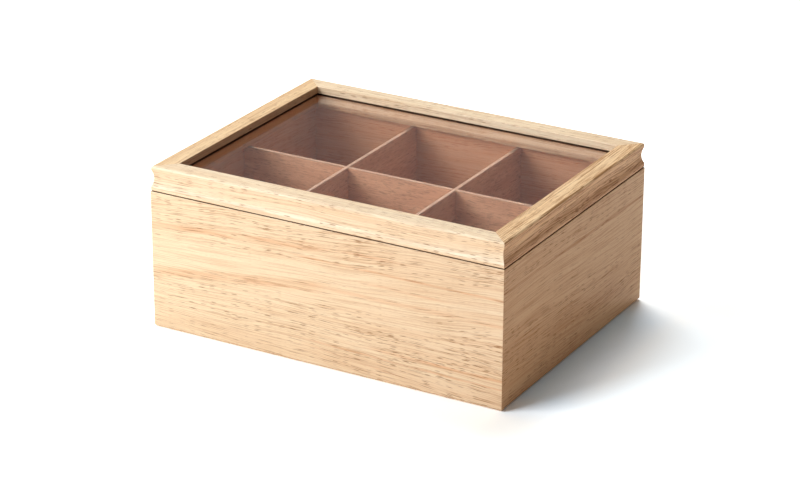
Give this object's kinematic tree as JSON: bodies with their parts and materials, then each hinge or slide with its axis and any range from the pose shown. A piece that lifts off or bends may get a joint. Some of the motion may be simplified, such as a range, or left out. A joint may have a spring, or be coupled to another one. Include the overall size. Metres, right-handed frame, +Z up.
{
  "type": "hinged tea bag box",
  "caption": "Rectangular wooden box with mitred walls and a grid of compartments, under a hinged lid whose coved frame holds a clear window.",
  "frame": {"origin": "centre of the case's footprint, on the surface the case stands on", "axes": "+X to the right along the front, +Y from the front to the hinges at the back, +Z up"},
  "size_m": [0.28, 0.2201, 0.1223],
  "materials": {
    "case_wood": "clear satin lacquer on rubberwood",
    "lid_wood": "clear satin lacquer on rubberwood",
    "divider_veneer": "thin veneered board, matt",
    "panel_veneer": "thin veneered board, matt",
    "window_glass": "clear, polished",
    "hinge_brass": "satin",
    "screw_brass": "satin",
    "bumper_rubber": "clear, soft"
  },
  "bodies": {
    "case": {"front_wall": "case_wood", "right_wall": "case_wood", "back_wall": "case_wood", "left_wall": "case_wood", "bottom_panel": "panel_veneer", "long_divider": "divider_veneer", "left_cross_divider": "divider_veneer", "right_cross_divider": "divider_veneer", "left_hinge_case_leaf": "hinge_brass", "right_hinge_case_leaf": "hinge_brass", "left_hinge_pin": "hinge_brass", "right_hinge_pin": "hinge_brass", "left_hinge_case_screws": "screw_brass", "right_hinge_case_screws": "screw_brass", "rim_bumpers": "bumper_rubber"},
    "lid": {"lid_front_rail": "lid_wood", "lid_right_rail": "lid_wood", "lid_back_rail": "lid_wood", "lid_left_rail": "lid_wood", "window_pane": "window_glass", "left_hinge_lid_leaf": "hinge_brass", "right_hinge_lid_leaf": "hinge_brass", "left_hinge_lid_screws": "screw_brass", "right_hinge_lid_screws": "screw_brass"}
  },
  "joints": [
    {"name": "lid_hinge", "type": "hinge", "parent": "case", "child": "lid", "pos_m": [0, 0.1091, 0.1039], "axis": [-1, 0, 0], "range_deg": [0, 95]}
  ]
}
